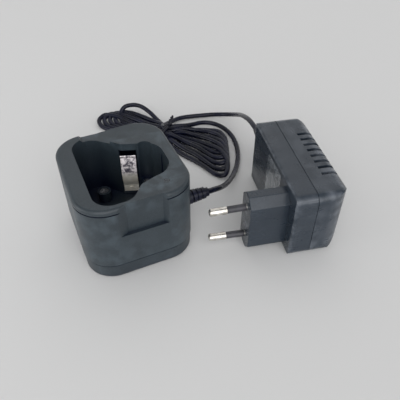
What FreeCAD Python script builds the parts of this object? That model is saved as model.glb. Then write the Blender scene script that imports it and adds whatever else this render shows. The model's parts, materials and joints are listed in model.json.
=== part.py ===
import FreeCAD, Part
import math
import os
import re
import Sketcher
from FreeCAD import Placement, Rotation, Vector

# Desktop charging cradle for a handheld radio, with its wall adapter and their cord.
# Row frame: millimetres, +Z up, origin at the centre of the cradle's underside.
# The cradle's front face, with the clip recess, looks along -Y. The adapter lies on its side.

SIZES = {
    # cradle casing
    "cradle_width": 55.8, "cradle_depth": 61.3, "cradle_height": 45.6, "corner_radius": 14.7,
    "wall": 2.0, "parting_height": 8.6, "rim_radius": 1.7, "base_radius": 2.2,
    "crease_drop": 2.6, "crease_width": 0.7, "crease_depth": 0.55, "seam": 0.5,
    "seam_height": 1.0, "seam_depth": 0.65,
    "scoop_left": -13.4, "scoop_low": -4.0, "scoop_right": 15.0, "scoop_depth": 1.8,
    "rim_backing_low": 43.1, "rim_backing_front": 17.5,
    # pocket for the radio: a wide part at the left, a waist and a narrow part at the right
    "pocket_axis": -2.6, "pocket_left": -19.4, "pocket_right": 21.7, "pocket_floor": 12.1,
    "wide_half": 24.9, "wide_back": 28.6, "waist_half_width": 16.6, "narrow_half": 13.6,
    "slant_left": -7.0, "slant_front": -2.6, "slant_middle": 4.0, "slant_right": 12.4,
    "wide_corner": 8.5, "narrow_corner": 10.0, "slant_corner": 3.5, "tub_wall": 2.0,
    "guide_rib": 0.8, "guide_rib_width": 1.3, "guide_rib_pitch": 10.0, "guide_rib_top": 42.6,
    # recess for the belt clip in the front face
    "recess_half": 11.7, "recess_bottom": 27.8, "recess_depth": 1.9, "recess_draft": 1.2,
    "recess_fade": 5.0,
    # pocket screws and casing screws
    "boss_left_x": -7.9, "boss_left_y": 15.0, "boss_left_top": 18.0, "boss_left_radius": 3.5,
    "boss_right_x": 14.4, "boss_right_y": 7.7, "boss_right_top": 22.9, "boss_right_radius": 2.5,
    "boss_well": 1.4, "driver_channel": 4.2, "screw_shank": 1.1, "screw_head": 2.3,
    "screw_head_height": 1.1, "cross_half": 0.3, "cross_share": 0.6, "cross_depth": 0.5,
    "screw_clear": 0.1, "screw_top": 9.4, "pillar_radius": 2.9,
    "pillar_bottom": 2.6, "foot_radius": 3.2, "foot_height": 1.2, "foot_x": 20.5, "foot_y": 14.5,
    "base_floor": 2.5, "lip_height": 1.3, "lip_width": 1.1, "lip_clear": 0.12,
    # charging contacts in the windows of the two slanted walls
    "contact_x": 6.9, "window_half": 4.5, "window_low": 19.0, "window_high": 41.6,
    "carrier_half": 4.35, "carrier_gap": 1.35, "carrier_plate": 1.5, "carrier_wide": 4.6,
    "carrier_top": 43.0, "carrier_low": 12.4,
    "leaf_half": 3.95, "leaf_thick": 0.35, "leaf_low": 14.6, "leaf_knee": 19.0,
    "leaf_crown": 28.5, "leaf_shoulder": 37.4, "leaf_top": 39.4,
    "leaf_root_y": 0.05, "leaf_crown_y": 2.3, "leaf_shoulder_y": 0.5, "leaf_lip_y": 1.5,
    "rivet_height": 16.8, "rivet_head": 1.25, "rivet_head_height": 0.45, "rivet_shank": 0.7,
    "rivet_clear": 0.35, "rivet_length": 1.4,
    # charging board
    "board_left": -9.0, "board_right": 17.2, "board_front": -24.6, "board_back": 13.1,
    "board_low": 4.2, "board_thick": 1.2, "led_x": 15.4, "led_y": -21.6, "led_radius": 1.5,
    "led_top": 9.2, "light_pipe_low": 9.6, "capacitor_x": 7.0, "capacitor_y": -24.0,
    "capacitor_radius": 2.4, "capacitor_height": 6.4,
    "chip_x": -1.5, "chip_y": -6.0, "chip_length": 5.0, "chip_width": 4.0, "chip_height": 1.5,
    "leg_length": 1.0, "leg_width": 0.5, "leg_height": 0.4, "leg_pitch": 1.2,
    "resistor_count": 5.0, "resistor_x": -6.0, "resistor_y": 3.0, "resistor_pitch": 3.2,
    "resistor_length": 2.0, "resistor_width": 1.2, "resistor_height": 0.6,
    "clamp_x": 4.5, "clamp_y": -12.5, "clamp_length": 4.2, "clamp_width": 2.6,
    "clamp_height": 2.0,
    # strain relief on the cradle's right side
    "relief_y": -15.4, "relief_z": 25.0, "relief_radius": 3.7, "relief_neck": 2.5,
    "relief_tip": 2.3, "relief_length": 11.2, "relief_hole": 2.6, "relief_flange": 3.6,
    "relief_flange_thick": 1.2, "relief_seat": 0.45, "cord_radius": 1.5,
    # wall adapter, in its own frame: +X away from the pins, +Y along the body, +Z up
    "adapter_x": 51.0, "adapter_y": -35.0, "adapter_turn": -12.1,
    "block_length": 19.6, "block_half": 17.2, "block_flat": 13.0, "block_thick": 6.85,
    "block_tip": 2.4, "pin_height": 17.4, "pin_pitch": 18.6, "pin_tilt": 1.7,
    "pin_radius": 2.0, "pin_core": 1.5, "pin_length": 19.0, "sleeve_length": 10.0,
    "sleeve_radius": 1.8, "pin_inside": 14.0, "pin_end_radius": 1.3,
    "body_front": -14.0, "body_back": 54.4, "body_height": 39.0, "cover_depth": 11.2,
    "body_depth": 28.4, "body_wall": 2.0, "body_edge": 4.6, "face_edge": 1.6,
    "face_far_edge": 4.0, "rear_top_edge": 5.5, "rear_near_edge": 11.5, "rear_far_edge": 13.5,
    "rear_low_edge": 13.0, "inner_edge": 0.6, "body_groove": 0.35,
    # half-length of the long blocks that the adapter's form is cut from
    "form_reach": 100.0,
    "label_front": 8.6, "label_back": 28.0, "label_low": 3.2, "label_high": 35.8,
    "label_thick": 0.35, "label_corner": 2.0,
    "vent_count": 8.0, "vent_pitch": 4.8, "vent_first": 2.8, "vent_width": 1.9,
    "vent_start": 38.0, "vent_wrap": 8.5,
    "sleeve_x": 23.6, "sleeve_z": 27.5, "exit_radius": 2.2, "exit_length": 6.9,
    # transformer and rectifier inside the adapter
    "core_x": 26.6, "core_thick": 12.6, "core_front": -7.6, "core_length": 28.0,
    "core_low": 3.6, "core_width": 33.0, "window_length": 17.0, "window_width": 5.7,
    "bobbin_wall": 0.8, "winding_depth": 3.6, "winding_gap": 0.15,
    "rectifier_x": 37.2, "rectifier_front": 24.5, "rectifier_back": 49.0, "rectifier_low": 6.0,
    "rectifier_high": 34.0, "rectifier_thick": 1.4,
    "smoother_radius": 5.0, "smoother_length": 12.5, "smoother_y": 42.0, "smoother_z": 12.5,
    "diode_radius": 1.3, "diode_length": 5.0, "diode_pitch": 4.4,
    # hank of cord
    "tie_x": 48.6, "tie_y": 70.0, "right_turn": -56.0, "left_turn": 129.0,
    "hank_reach": 52.0, "hank_half": 15.0,
    "lobe_height": 6.0, "waist_half": 5.0, "waist_length": 5.0, "waist_low": 0.7,
    "waist_high": 9.0, "lobe_corner": 4.0, "tie_half_width": 2.0, "tie_thick": 0.6,
}

CORNERS = ((1, 1), (-1, 1), (-1, -1), (1, -1))
CASE_SCREWS = ((-14.0, -10.0), (-14.0, 10.0), (16.0, 20.5), (20.4, -22.2))

doc = FreeCAD.newDocument("radio_charger")
sheet = doc.addObject("Spreadsheet::Sheet", "Sizes")
nodes = []


def fill_sheet():
    for row, (alias, number) in enumerate(SIZES.items(), start=1):
        sheet.set("A%d" % row, alias)
        sheet.set("B%d" % row, str(number))
        sheet.setAlias("B%d" % row, alias)
    doc.recompute()


def bound(text):
    """Turn sheet aliases in a size expression into references to the sheet."""
    def reference(match):
        word = match.group()
        return "Sizes." + word if word in SIZES else word
    return re.sub(r"[a-z_]+", reference, str(text))


def value(text):
    return float(sheet.evalExpression(bound(text)))


def drive(obj, path, text):
    obj.setExpression(path, bound(text))


def keep(obj, label):
    """Give an object its node name and list it for export."""
    obj.Label = label
    nodes.append(obj)
    return obj


# ---- sketches and features --------------------------------------------------------------

def new_body(label):
    return keep(doc.addObject("PartDesign::Body", label), label)


def new_sketch(body, name, role="XY_Plane", height="0"):
    sketch = body.newObject("Sketcher::SketchObject", name)
    plane = next(item for item in body.Origin.OriginFeatures if item.Role == role)
    sketch.AttachmentSupport = [(plane, "")]
    sketch.MapMode = "FlatFace"
    drive(sketch, "AttachmentOffset.Base.z", height)
    return sketch


def pin_point(sketch, geometry, position, x, y):
    for kind, text in (("DistanceX", x), ("DistanceY", y)):
        index = sketch.addConstraint(
            Sketcher.Constraint(kind, -1, 1, geometry, position, value(text)))
        drive(sketch, "Constraints[%d]" % index, text)


def polygon(sketch, points):
    spots = [Vector(value(x), value(y), 0) for x, y in points]
    first = sketch.GeometryCount
    count = len(spots)
    for index in range(count):
        sketch.addGeometry(Part.LineSegment(spots[index], spots[(index + 1) % count]), False)
    for index in range(count):
        following = first + (index + 1) % count
        sketch.addConstraint(Sketcher.Constraint("Coincident", first + index, 2, following, 1))
    for index, (x, y) in enumerate(points):
        pin_point(sketch, first + index, 1, x, y)


def rectangle(sketch, left, right, low, high):
    polygon(sketch, [(left, low), (right, low), (right, high), (left, high)])


def circle(sketch, x, y, radius):
    centre = Vector(value(x), value(y), 0)
    index = sketch.addGeometry(Part.Circle(centre, Vector(0, 0, 1), value(radius)), False)
    pin_point(sketch, index, 3, x, y)
    size = sketch.addConstraint(Sketcher.Constraint("Radius", index, value(radius)))
    drive(sketch, "Constraints[%d]" % size, radius)


def feature(body, kind, name, sketch, length, reverse=False):
    item = body.newObject("PartDesign::" + kind, name)
    item.Profile = sketch
    item.Length = value(length)
    drive(item, "Length", length)
    item.Reversed = reverse
    sketch.Visibility = False
    doc.recompute()
    return item


def pad(body, name, sketch, length, reverse=False):
    return feature(body, "Pad", name, sketch, length, reverse)


def pocket(body, name, sketch, depth, reverse=False):
    before = body.Shape.Volume
    item = feature(body, "Pocket", name, sketch, depth, reverse)
    if body.Shape.Volume >= before:
        raise RuntimeError(name + " cuts nothing")
    return item


def round_edges(body, name, test, radius):
    base = body.Tip
    names = ["Edge%d" % (i + 1) for i, edge in enumerate(base.Shape.Edges) if test(edge)]
    item = body.newObject("PartDesign::Fillet", name)
    item.Base = (base, names)
    item.Radius = value(radius)
    drive(item, "Radius", radius)
    doc.recompute()
    return item


def along(edge, axis):
    """Whether an edge is straight and runs along one coordinate axis."""
    if edge.Curve.TypeId != "Part::GeomLine":
        return False
    start, end = edge.Vertexes[0].Point, edge.Vertexes[-1].Point
    run = end - start
    return abs(abs(run[axis]) - run.Length) < 1e-6


def near(number, target, slack=0.02):
    return abs(number - target) < slack


def edges_along(axis, spots):
    """Test for straight edges along an axis that pass through spots in the other two."""
    first, second = [index for index in range(3) if index != axis]

    def test(edge):
        point = edge.Vertexes[0].Point
        return along(edge, axis) and any(
            near(point[first], a) and near(point[second], b) for a, b in spots)
    return test


def vertical_at(spots):
    return edges_along(2, spots)


def edges_at_height(height):
    def test(edge):
        box = edge.BoundBox
        return near(box.ZMin, height) and near(box.ZMax, height)
    return test


# ---- primitives -------------------------------------------------------------------------

def place(obj, x="0", y="0", z="0"):
    for axis, text in zip("xyz", (x, y, z)):
        drive(obj, "Placement.Base." + axis, text)
    return obj


def box(x, y, z, length, width, height):
    item = doc.addObject("Part::Box", "Box")
    for name, text in (("Length", length), ("Width", width), ("Height", height)):
        drive(item, name, text)
    return place(item, x, y, z)


def cylinder(x, y, z, radius, height, axis=None):
    item = doc.addObject("Part::Cylinder", "Cylinder")
    if axis is not None:
        item.Placement = Placement(Vector(), Rotation(Vector(0, 0, 1), axis))
    drive(item, "Radius", radius)
    drive(item, "Height", height)
    return place(item, x, y, z)


def bundle(members):
    item = doc.addObject("Part::Compound", "Bundle")
    item.Links = members
    return item


def group(label, members):
    return keep(bundle(members), label)


def fuse(members):
    item = doc.addObject("Part::MultiFuse", "Fusion")
    item.Shapes = members
    return item


def cut(base, tool):
    item = doc.addObject("Part::Cut", "Cut")
    item.Base = base
    item.Tool = tool
    return item


def solid_shape(label, shape):
    """A node whose shape is set directly, because no sketch or primitive makes it."""
    item = doc.addObject("Part::Feature", label)
    item.Shape = shape
    return keep(item, label)


# ---- cradle casing ----------------------------------------------------------------------

def case_outline(sketch, inset="0"):
    half_width = "(cradle_width / 2 - (%s))" % inset
    half_depth = "(cradle_depth / 2 - (%s))" % inset
    rectangle(sketch, "-" + half_width, half_width, "-" + half_depth, half_depth)


def case_corners(inset=0.0):
    half_width = value("cradle_width / 2") - inset
    half_depth = value("cradle_depth / 2") - inset
    return [(sx * half_width, sy * half_depth) for sx, sy in CORNERS]


def rounded_pad(body, name, inset, low, height, radius):
    """A pad of the case outline, moved in by inset, with its upright edges rounded."""
    sketch = new_sketch(body, name + "Outline", height=low)
    case_outline(sketch, inset)
    pad(body, name, sketch, height)
    round_edges(body, name + "Corners", vertical_at(case_corners(value(inset))), radius)


def rounded_cavity(name, inset, low, height, radius):
    """A rounded block the size of the case outline moved in by inset, as a cutting tool."""
    body = doc.addObject("PartDesign::Body", name)
    rounded_pad(body, name + "Block", inset, low, height, radius)
    return body


def pocket_points(wide, slant):
    """Corners of one half of the pocket: x, distance from the axis, corner radius."""
    return (("pocket_left", wide, "wide_corner"),
            (slant, wide, "wide_corner"),
            ("slant_middle", "waist_half_width", "slant_corner"),
            ("slant_right", "narrow_half", "slant_corner"),
            ("pocket_right", "narrow_half", "narrow_corner"))


def pocket_block(name, grow, low, height):
    """A block with the pocket's plan shape, used as the tub and as the cut inside it."""
    axis = value("pocket_axis")
    body = doc.addObject("PartDesign::Body", name)
    sketch = new_sketch(body, name + "Outline", height=low)
    back, front = [
        grown([(value(x), value(w), value(r)) for x, w, r in pocket_points(*half)], grow)
        for half in (("wide_back", "slant_left"), ("wide_half", "slant_front"))]
    spots = [(x, axis + w) for x, w, r in back]
    spots += [(x, axis - w) for x, w, r in reversed(front)]
    polygon(sketch, spots)
    pad(body, name + "Pad", sketch, height)
    for index, ((x, w, radius), (front_x, front_w, _)) in enumerate(zip(back, front)):
        test = vertical_at([(x, axis + w), (front_x, axis - front_w)])
        round_edges(body, name + "Corner%d" % index, test, radius)
    return body


def grown(corners, grow):
    """Move an open chain of corners outward by grow, keeping every wall's direction."""
    ends = [(corners[0][0], -corners[0][1])] + [(x, w) for x, w, r in corners]
    ends.append((corners[-1][0], -corners[-1][1]))
    moved = []
    for index, (x, w, radius) in enumerate(corners, start=1):
        into = Vector(*ends[index]) - Vector(*ends[index - 1])
        out = Vector(*ends[index + 1]) - Vector(*ends[index])
        into.normalize()
        out.normalize()
        normal_in = Vector(-into.y, into.x, 0)
        normal_out = Vector(-out.y, out.x, 0)
        middle = normal_in + normal_out
        shift = middle * (grow / (1 + normal_in.dot(normal_out)))
        outward = into.cross(out).z < 0
        moved.append((x + shift.x, w + shift.y, radius + grow if outward else radius))
    return moved


def recess_backing():
    """Wall behind the clip recess, joining the front wall."""
    return box("-recess_half - wall", "-cradle_depth / 2 + 0.5", "recess_bottom - wall",
               "2 * (recess_half + wall)", "recess_depth + wall - 0.5",
               "cradle_height - 1 - recess_bottom + wall")


def recess_cut():
    """Recess with a flat ledge below. Its sides slope out to the front face, the left one slowly."""
    body = doc.addObject("PartDesign::Body", "Recess")
    sketch = new_sketch(body, "RecessOutline", height="recess_bottom")
    half, slope, outside = value("recess_half"), value("recess_draft"), 1.0
    face = -value("cradle_depth") / 2
    reach = slope * (1 + outside / value("recess_depth"))
    floor = face + value("recess_depth")
    polygon(sketch, [(-half - reach, face - outside), (half + reach, face - outside),
                     (half - slope, floor), (value("recess_fade") - half, floor)])
    pad(body, "RecessPad", sketch, "cradle_height")
    return body


def crease_cut():
    """Narrow groove all round the casing, just under the rim."""
    low = "cradle_height - crease_drop - crease_width"
    outside = box("-cradle_width", "-cradle_depth", low,
                  "2 * cradle_width", "2 * cradle_depth", "crease_width")
    core = rounded_cavity("CreaseCore", "crease_depth", low + " - 1", "crease_width + 2",
                          "corner_radius - crease_depth")
    return cut(outside, core)


def seam_cut():
    """Fine step at the joint between the casing and the base plate."""
    outside = box("-cradle_width", "-cradle_depth", "parting_height",
                  "2 * cradle_width", "2 * cradle_depth", "seam_height")
    core = rounded_cavity("SeamCore", "seam_depth", "parting_height - 1", "seam_height + 2",
                          "corner_radius - seam_depth")
    return cut(outside, core)


def scoop_cut():
    """Drop in the back of the rim: steep at the left, and rising slowly to the right."""
    body = doc.addObject("PartDesign::Body", "Scoop")
    sketch = new_sketch(body, "ScoopOutline", "XZ_Plane", "-cradle_depth")
    left, low, right = value("scoop_left"), value("scoop_low"), value("scoop_right")
    top, bottom = value("cradle_height"), value("cradle_height - scoop_depth")
    steep, above = 1.0, 1.0
    polygon(sketch, [(left - steep, top + above), (left + steep, bottom), (low, bottom),
                     (right, top), (right, top + above)])
    pad(body, "ScoopPad", sketch, "cradle_depth - rim_backing_front - 1")
    return body


def rim_backing():
    """Thicker rim under the drop."""
    return box("scoop_left - 2", "rim_backing_front", "rim_backing_low",
               "scoop_right - scoop_left + 2", "cradle_depth / 2 - 1 - rim_backing_front",
               "cradle_height - 1 - rim_backing_low")


def guide_ribs():
    """Upright ribs on the narrow end of the pocket."""
    ribs = []
    for step in (-1, 1):
        y = "pocket_axis + %d * guide_rib_pitch / 2 - guide_rib_width / 2" % step
        ribs.append(box("pocket_right - guide_rib", y, "pocket_floor - 0.5",
                        "guide_rib + 0.5", "guide_rib_width", "guide_rib_top - pocket_floor"))
    return ribs


def pillars():
    """Screw pillars: two short ones under the tub and two tall ones under the rim."""
    posts = []
    for x, y in CASE_SCREWS:
        top = "pocket_floor - 1" if x < 0 else "cradle_height - 1"
        posts.append(cylinder(x, y, "pillar_bottom", "pillar_radius", top + " - pillar_bottom"))
    return posts


def pillar_holes():
    return [cylinder(x, y, "0", "screw_shank", "screw_top + 0.1") for x, y in CASE_SCREWS]


BOSSES = (("boss_left_x", "boss_left_y", "boss_left_top", "boss_left_radius"),
          ("boss_right_x", "boss_right_y", "boss_right_top", "boss_right_radius"))


def cradle_shell():
    outer = doc.addObject("PartDesign::Body", "CaseOuter")
    rounded_pad(outer, "Case", "0", "parting_height", "cradle_height - parting_height",
                "corner_radius")
    round_edges(outer, "RimRound", edges_at_height(value("cradle_height")), "rim_radius")
    inside = rounded_cavity("CaseInside", "wall", "parting_height - 1",
                            "cradle_height - wall - parting_height + 1", "corner_radius - wall")
    tub = pocket_block("Tub", value("tub_wall"), "pocket_floor - tub_wall",
                       "cradle_height - 1 - pocket_floor + tub_wall")
    hollow = pocket_block("Hollow", 0.0, "pocket_floor", "cradle_height")
    case = cut(outer, inside)
    case = fuse([case, tub, recess_backing(), rim_backing()] + pillars())
    case = cut(case, fuse([hollow, recess_cut()]))
    bosses = [cylinder(x, y, "pocket_floor - 0.5", radius, top + " - pocket_floor + 0.5")
              for x, y, top, radius in BOSSES]
    case = fuse([case] + bosses + guide_ribs())
    wells = [cylinder(x, y, top + " - boss_well", "screw_head + screw_clear", "boss_well + 1")
             for x, y, top, radius in BOSSES[:1]]
    wells.append(cylinder(BOSSES[1][0], BOSSES[1][1], BOSSES[1][2] + " - boss_well",
                          "boss_right_radius - 0.8", "boss_well + 1"))
    wells.append(cylinder(BOSSES[1][0], BOSSES[1][1], BOSSES[1][2], "driver_channel",
                          "cradle_height"))
    wells += [window_cut(side, flip) for name, side, flip in CONTACTS]
    cable = cylinder("cradle_width / 2 - 5", "relief_y", "relief_z", "relief_hole", "10",
                     Vector(1, 0, 0))
    pipe = cylinder("led_x", "led_y", "cradle_height - 5", "led_radius + 0.05", "10")
    tools = [crease_cut(), seam_cut(), scoop_cut(), cable, pipe] + wells + pillar_holes()
    keep(cut(case, fuse(tools)), "cradle_shell")


def base_plate():
    body = doc.addObject("PartDesign::Body", "BaseOuter")
    rounded_pad(body, "Base", "seam", "0", "parting_height", "corner_radius - seam")
    round_edges(body, "BaseRound", edges_at_height(0.0), "base_radius")
    hollow = rounded_cavity("BaseHollow", "wall + lip_clear + lip_width", "base_floor",
                            "parting_height + 5", "corner_radius - wall - lip_width")
    lip = rounded_cavity("BaseLip", "wall + lip_clear", "parting_height - 1",
                         "lip_height + 1", "corner_radius - wall - lip_clear")
    plate = cut(fuse([body, lip]), hollow)
    feet = [cylinder("%d * foot_x" % sx, "%d * foot_y" % sy, "-1", "foot_radius",
                     "foot_height + 1") for sx, sy in CORNERS]
    heads = [cylinder(x, y, "-1", "screw_head + screw_clear", "screw_head_height + 1")
             for x, y in CASE_SCREWS]
    shanks = [cylinder(x, y, "0", "screw_shank + screw_clear", "5") for x, y in CASE_SCREWS]
    clear = [cylinder(x, y, "pillar_bottom - 0.05", "pillar_radius + 0.2", "10")
             for x, y in CASE_SCREWS]
    keep(cut(plate, fuse(feet + heads + shanks + clear)), "base_plate")


def rubber_feet():
    group("rubber_feet", [cylinder("%d * foot_x" % sx, "%d * foot_y" % sy, "0", "foot_radius",
                                   "foot_height") for sx, sy in CORNERS])


def screw_head(x, y, low, radius, slot_low):
    """A pan head with a cross recess."""
    arm = "(%s) * cross_share" % radius
    slots = [box("%s - %s" % (x, a), "%s - %s" % (y, b), slot_low, "2 * " + a, "2 * " + b,
                 "2 * cross_depth")
             for a, b in ((arm, "cross_half"), ("cross_half", arm))]
    return cut(cylinder(x, y, low, radius, "screw_head_height"), fuse(slots))


def base_screws():
    """Screws put in from below, heads down."""
    members = []
    for x, y in CASE_SCREWS:
        shank = cylinder(str(x), str(y), "screw_head_height", "screw_shank",
                         "screw_top - screw_head_height")
        members.append(fuse([screw_head(str(x), str(y), "0", "screw_head", "-cross_depth"), shank]))
    group("base_screws", members)


def pocket_screws():
    """Screws seen from above in the two wells of the pocket."""
    members = []
    for (x, y, top, radius), head in zip(BOSSES, ("screw_head", "boss_right_radius - 0.85")):
        low = top + " - boss_well"
        members.append(screw_head(x, y, low, head, low + " + screw_head_height - cross_depth"))
    group("pocket_screws", members)


# ---- contacts ---------------------------------------------------------------------------

CONTACTS = (("back", 1, 0.0), ("front", -1, 180.0))


def contact_wall():
    """Direction of the slanted wall from the waist, and its distance from the axis."""
    fall = value("waist_half_width - narrow_half")
    run = value("slant_right - slant_middle")
    along_wall = value("contact_x - slant_middle")
    return math.degrees(math.atan2(fall, run)), value("waist_half_width") - fall * along_wall / run


def contact_placement(side, flip):
    """Frame of one slanted wall: +X along the wall, -Y into the pocket, +Z up."""
    slope, distance = contact_wall()
    spot = Vector(value("contact_x"), value("pocket_axis") + side * distance, 0)
    return Placement(spot, Rotation(Vector(0, 0, 1), flip - side * slope))


def window_cut(side, flip):
    """Opening in a slanted wall for the leaf, and the lower seat of its carrier."""
    item = bundle([box("-window_half", "-1", "carrier_low - 0.3", "2 * window_half",
                       "wall + carrier_gap + 1", "window_high - carrier_low + 0.3")])
    item.Placement = contact_placement(side, flip)
    return item


def contact_carrier(name, side, flip):
    """Block that fills the window's lower part, on a plate behind the wall."""
    seat = box("-carrier_half", "0", "carrier_low", "2 * carrier_half",
               "wall + carrier_gap + 0.5", "window_low - carrier_low")
    plate = box("-carrier_wide", "wall + carrier_gap", "carrier_low", "2 * carrier_wide",
                "carrier_plate", "carrier_top - carrier_low")
    opening = box("-window_half + 0.2", "0", "window_low", "2 * window_half - 0.4", "10",
                  "window_high - window_low")
    hole = cylinder("0", "-1", "rivet_height", "rivet_shank + rivet_clear", "6",
                    Vector(0, 1, 0))
    item = cut(fuse([seat, plate]), fuse([opening, hole]))
    keep(item, "contact_carrier_" + name)
    item.Placement = contact_placement(side, flip)


def leaf_profile():
    """Closed side profile of the bowed leaf: straight root, long bow and turned-out lip."""
    thick = value("leaf_thick")
    root, crown = value("leaf_root_y"), value("leaf_crown_y")
    shoulder, lip = value("leaf_shoulder_y"), value("leaf_lip_y")
    low, knee = value("leaf_low"), value("leaf_knee")
    middle, high, top = value("leaf_crown"), value("leaf_shoulder"), value("leaf_top")

    def spot(depth, height):
        return Vector(0, -depth, height)

    back = [Part.LineSegment(spot(root, low), spot(root, knee)),
            Part.Arc(spot(root, knee), spot(crown, middle), spot(shoulder, high)),
            Part.LineSegment(spot(shoulder, high), spot(lip, top))]
    end = Part.LineSegment(spot(lip, top), spot(lip + thick, top - thick))
    front = [Part.LineSegment(spot(lip + thick, top - thick), spot(shoulder + thick, high - thick)),
             Part.Arc(spot(shoulder + thick, high - thick), spot(crown + thick, middle),
                      spot(root + thick, knee)),
             Part.LineSegment(spot(root + thick, knee), spot(root + thick, low))]
    close = Part.LineSegment(spot(root + thick, low), spot(root, low))
    return Part.Face(Part.Wire([item.toShape() for item in back + [end] + front + [close]]))


def contact_spring(name, side, flip):
    half = value("leaf_half")
    profile = leaf_profile()
    profile.translate(Vector(-half, 0, 0))
    leaf = profile.extrude(Vector(2 * half, 0, 0))
    hole = Part.makeCylinder(value("rivet_shank"), 4,
                             Vector(0, 1, value("rivet_height")), Vector(0, -1, 0))
    item = solid_shape("contact_spring_" + name, leaf.cut(hole))
    item.Placement = contact_placement(side, flip)


def contact_rivet(name, side, flip):
    head_y = "-leaf_root_y - leaf_thick"
    shank = cylinder("0", head_y, "rivet_height", "rivet_shank", "rivet_length",
                     Vector(0, 1, 0))
    head = cylinder("0", head_y, "rivet_height", "rivet_head", "rivet_head_height",
                    Vector(0, -1, 0))
    item = keep(fuse([shank, head]), "contact_rivet_" + name)
    item.Placement = contact_placement(side, flip)


def contacts():
    for name, side, flip in CONTACTS:
        contact_carrier(name, side, flip)
        contact_spring(name, side, flip)
        contact_rivet(name, side, flip)


# ---- charging board ---------------------------------------------------------------------

def charge_board():
    body = new_body("charge_board")
    sketch = new_sketch(body, "BoardOutline", height="board_low")
    rectangle(sketch, "board_left", "board_right", "board_front", "board_back")
    pad(body, "BoardPad", sketch, "board_thick")
    rests = [(-4.0, -8.0), (8.0, 6.0)]
    holes = new_sketch(body, "BoardHoles", height="board_low + board_thick")
    for x, y in rests:
        circle(holes, x, y, "1.1")
    pocket(body, "BoardHolesCut", holes, "board_thick + 1")


def board_parts():
    top = "board_low + board_thick"
    led = fuse([cylinder("led_x", "led_y", top, "led_radius", "led_top - board_low - board_thick"),
                cylinder("led_x", "led_y", top, "led_radius + 0.3", "0.8")])
    keep(led, "status_led")
    group("light_pipe", [cylinder("led_x", "led_y", "light_pipe_low", "led_radius",
                                  "cradle_height - light_pipe_low")])
    group("charge_capacitor", [cylinder("capacitor_x", "capacitor_y", top, "capacitor_radius",
                                        "capacitor_height")])
    chip = box("chip_x", "chip_y", top, "chip_length", "chip_width", "chip_height")
    legs = [box(x, "chip_y + chip_width / 2 + %d * leg_pitch - leg_width / 2" % step, top,
                "leg_length", "leg_width", "leg_height")
            for x in ("chip_x - leg_length", "chip_x + chip_length") for step in (-1, 0, 1)]
    keep(fuse([chip] + legs), "charge_chip")
    group("board_resistors", [box("resistor_x + %d * resistor_pitch" % index, "resistor_y", top,
                                  "resistor_length", "resistor_width", "resistor_height")
                              for index in range(int(value("resistor_count")))])
    group("reverse_diode", [box("clamp_x", "clamp_y", top, "clamp_length", "clamp_width",
                                "clamp_height")])


# ---- strain reliefs ---------------------------------------------------------------------

def ring_profile(sketch, steps):
    """Half profile of a turned piece: steps are (position along the axis, radius) pairs."""
    points = [(steps[0][0], "0")] + list(steps) + [(steps[-1][0], "0")]
    polygon(sketch, points)


def turned(body, name, sketch, role="X_Axis"):
    item = body.newObject("PartDesign::Revolution", name)
    item.Profile = sketch
    axis = next(part for part in body.Origin.OriginFeatures if part.Role == role)
    item.ReferenceAxis = (axis, [""])
    item.Angle = 360
    sketch.Visibility = False
    doc.recompute()


def cradle_strain_relief():
    """Ribbed sleeve: a flange inside the wall, a neck in the hole and three ribs outside."""
    body = new_body("cradle_strain_relief")
    sketch = new_sketch(body, "ReliefProfile", "XZ_Plane")
    seat = "-wall - relief_seat"
    steps = [(seat + " - relief_flange_thick", "relief_flange"), (seat, "relief_flange"),
             (seat, "relief_neck"), ("0.1", "relief_neck"), ("0.1", "relief_radius")]
    for index in range(4):
        radius = "(relief_radius - %s)" % (0.22 * index)
        low = "%s" % (0.1 + 2.5 * index)
        if index:
            steps += [(low, "relief_neck - 0.1"), (low, radius)]
        steps += [(low + " + 1.6", radius), (low + " + 1.6", "relief_neck - 0.1")]
    steps += [("relief_length", "relief_tip")]
    ring_profile(sketch, steps)
    turned(body, "ReliefTurned", sketch)
    place(body, "cradle_width / 2", "relief_y", "relief_z")


def adapter_strain_relief():
    body = new_body("adapter_strain_relief")
    sketch = new_sketch(body, "SleeveProfile", "YZ_Plane")
    ring_profile(sketch, [("-body_wall - 2", "exit_radius - 0.1"), ("0.1", "exit_radius - 0.1"),
                          ("0.1", "exit_radius + 0.3"), ("exit_length", "exit_radius - 0.4")])
    turned(body, "SleeveTurned", sketch, "Y_Axis")
    body.Placement = adapter_frame().multiply(
        Placement(Vector(value("sleeve_x"), value("body_back"), value("sleeve_z")), Rotation()))


# ---- wall adapter -----------------------------------------------------------------------

def adapter_frame():
    return Placement(Vector(value("adapter_x"), value("adapter_y"), 0),
                     Rotation(Vector(0, 0, 1), value("adapter_turn")))


def adapter_node(item, label):
    """Keep a piece of the adapter and move it from the adapter's frame to its place."""
    keep(item, label)
    item.Placement = adapter_frame()
    return item


def form_pad(name, role, spots, edges):
    """One padded outline of the adapter's form with its corners rounded."""
    body = doc.addObject("PartDesign::Body", name)
    sketch = new_sketch(body, name + "Outline", role, "-form_reach")
    rectangle(sketch, *spots)
    pad(body, name + "Pad", sketch, "2 * form_reach")
    for index, (axis, corners, radius) in enumerate(edges):
        spots = [(value(first), value(second)) for first, second in corners]
        round_edges(body, name + "Round%d" % index, edges_along(axis, spots), radius)
    return body


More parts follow.
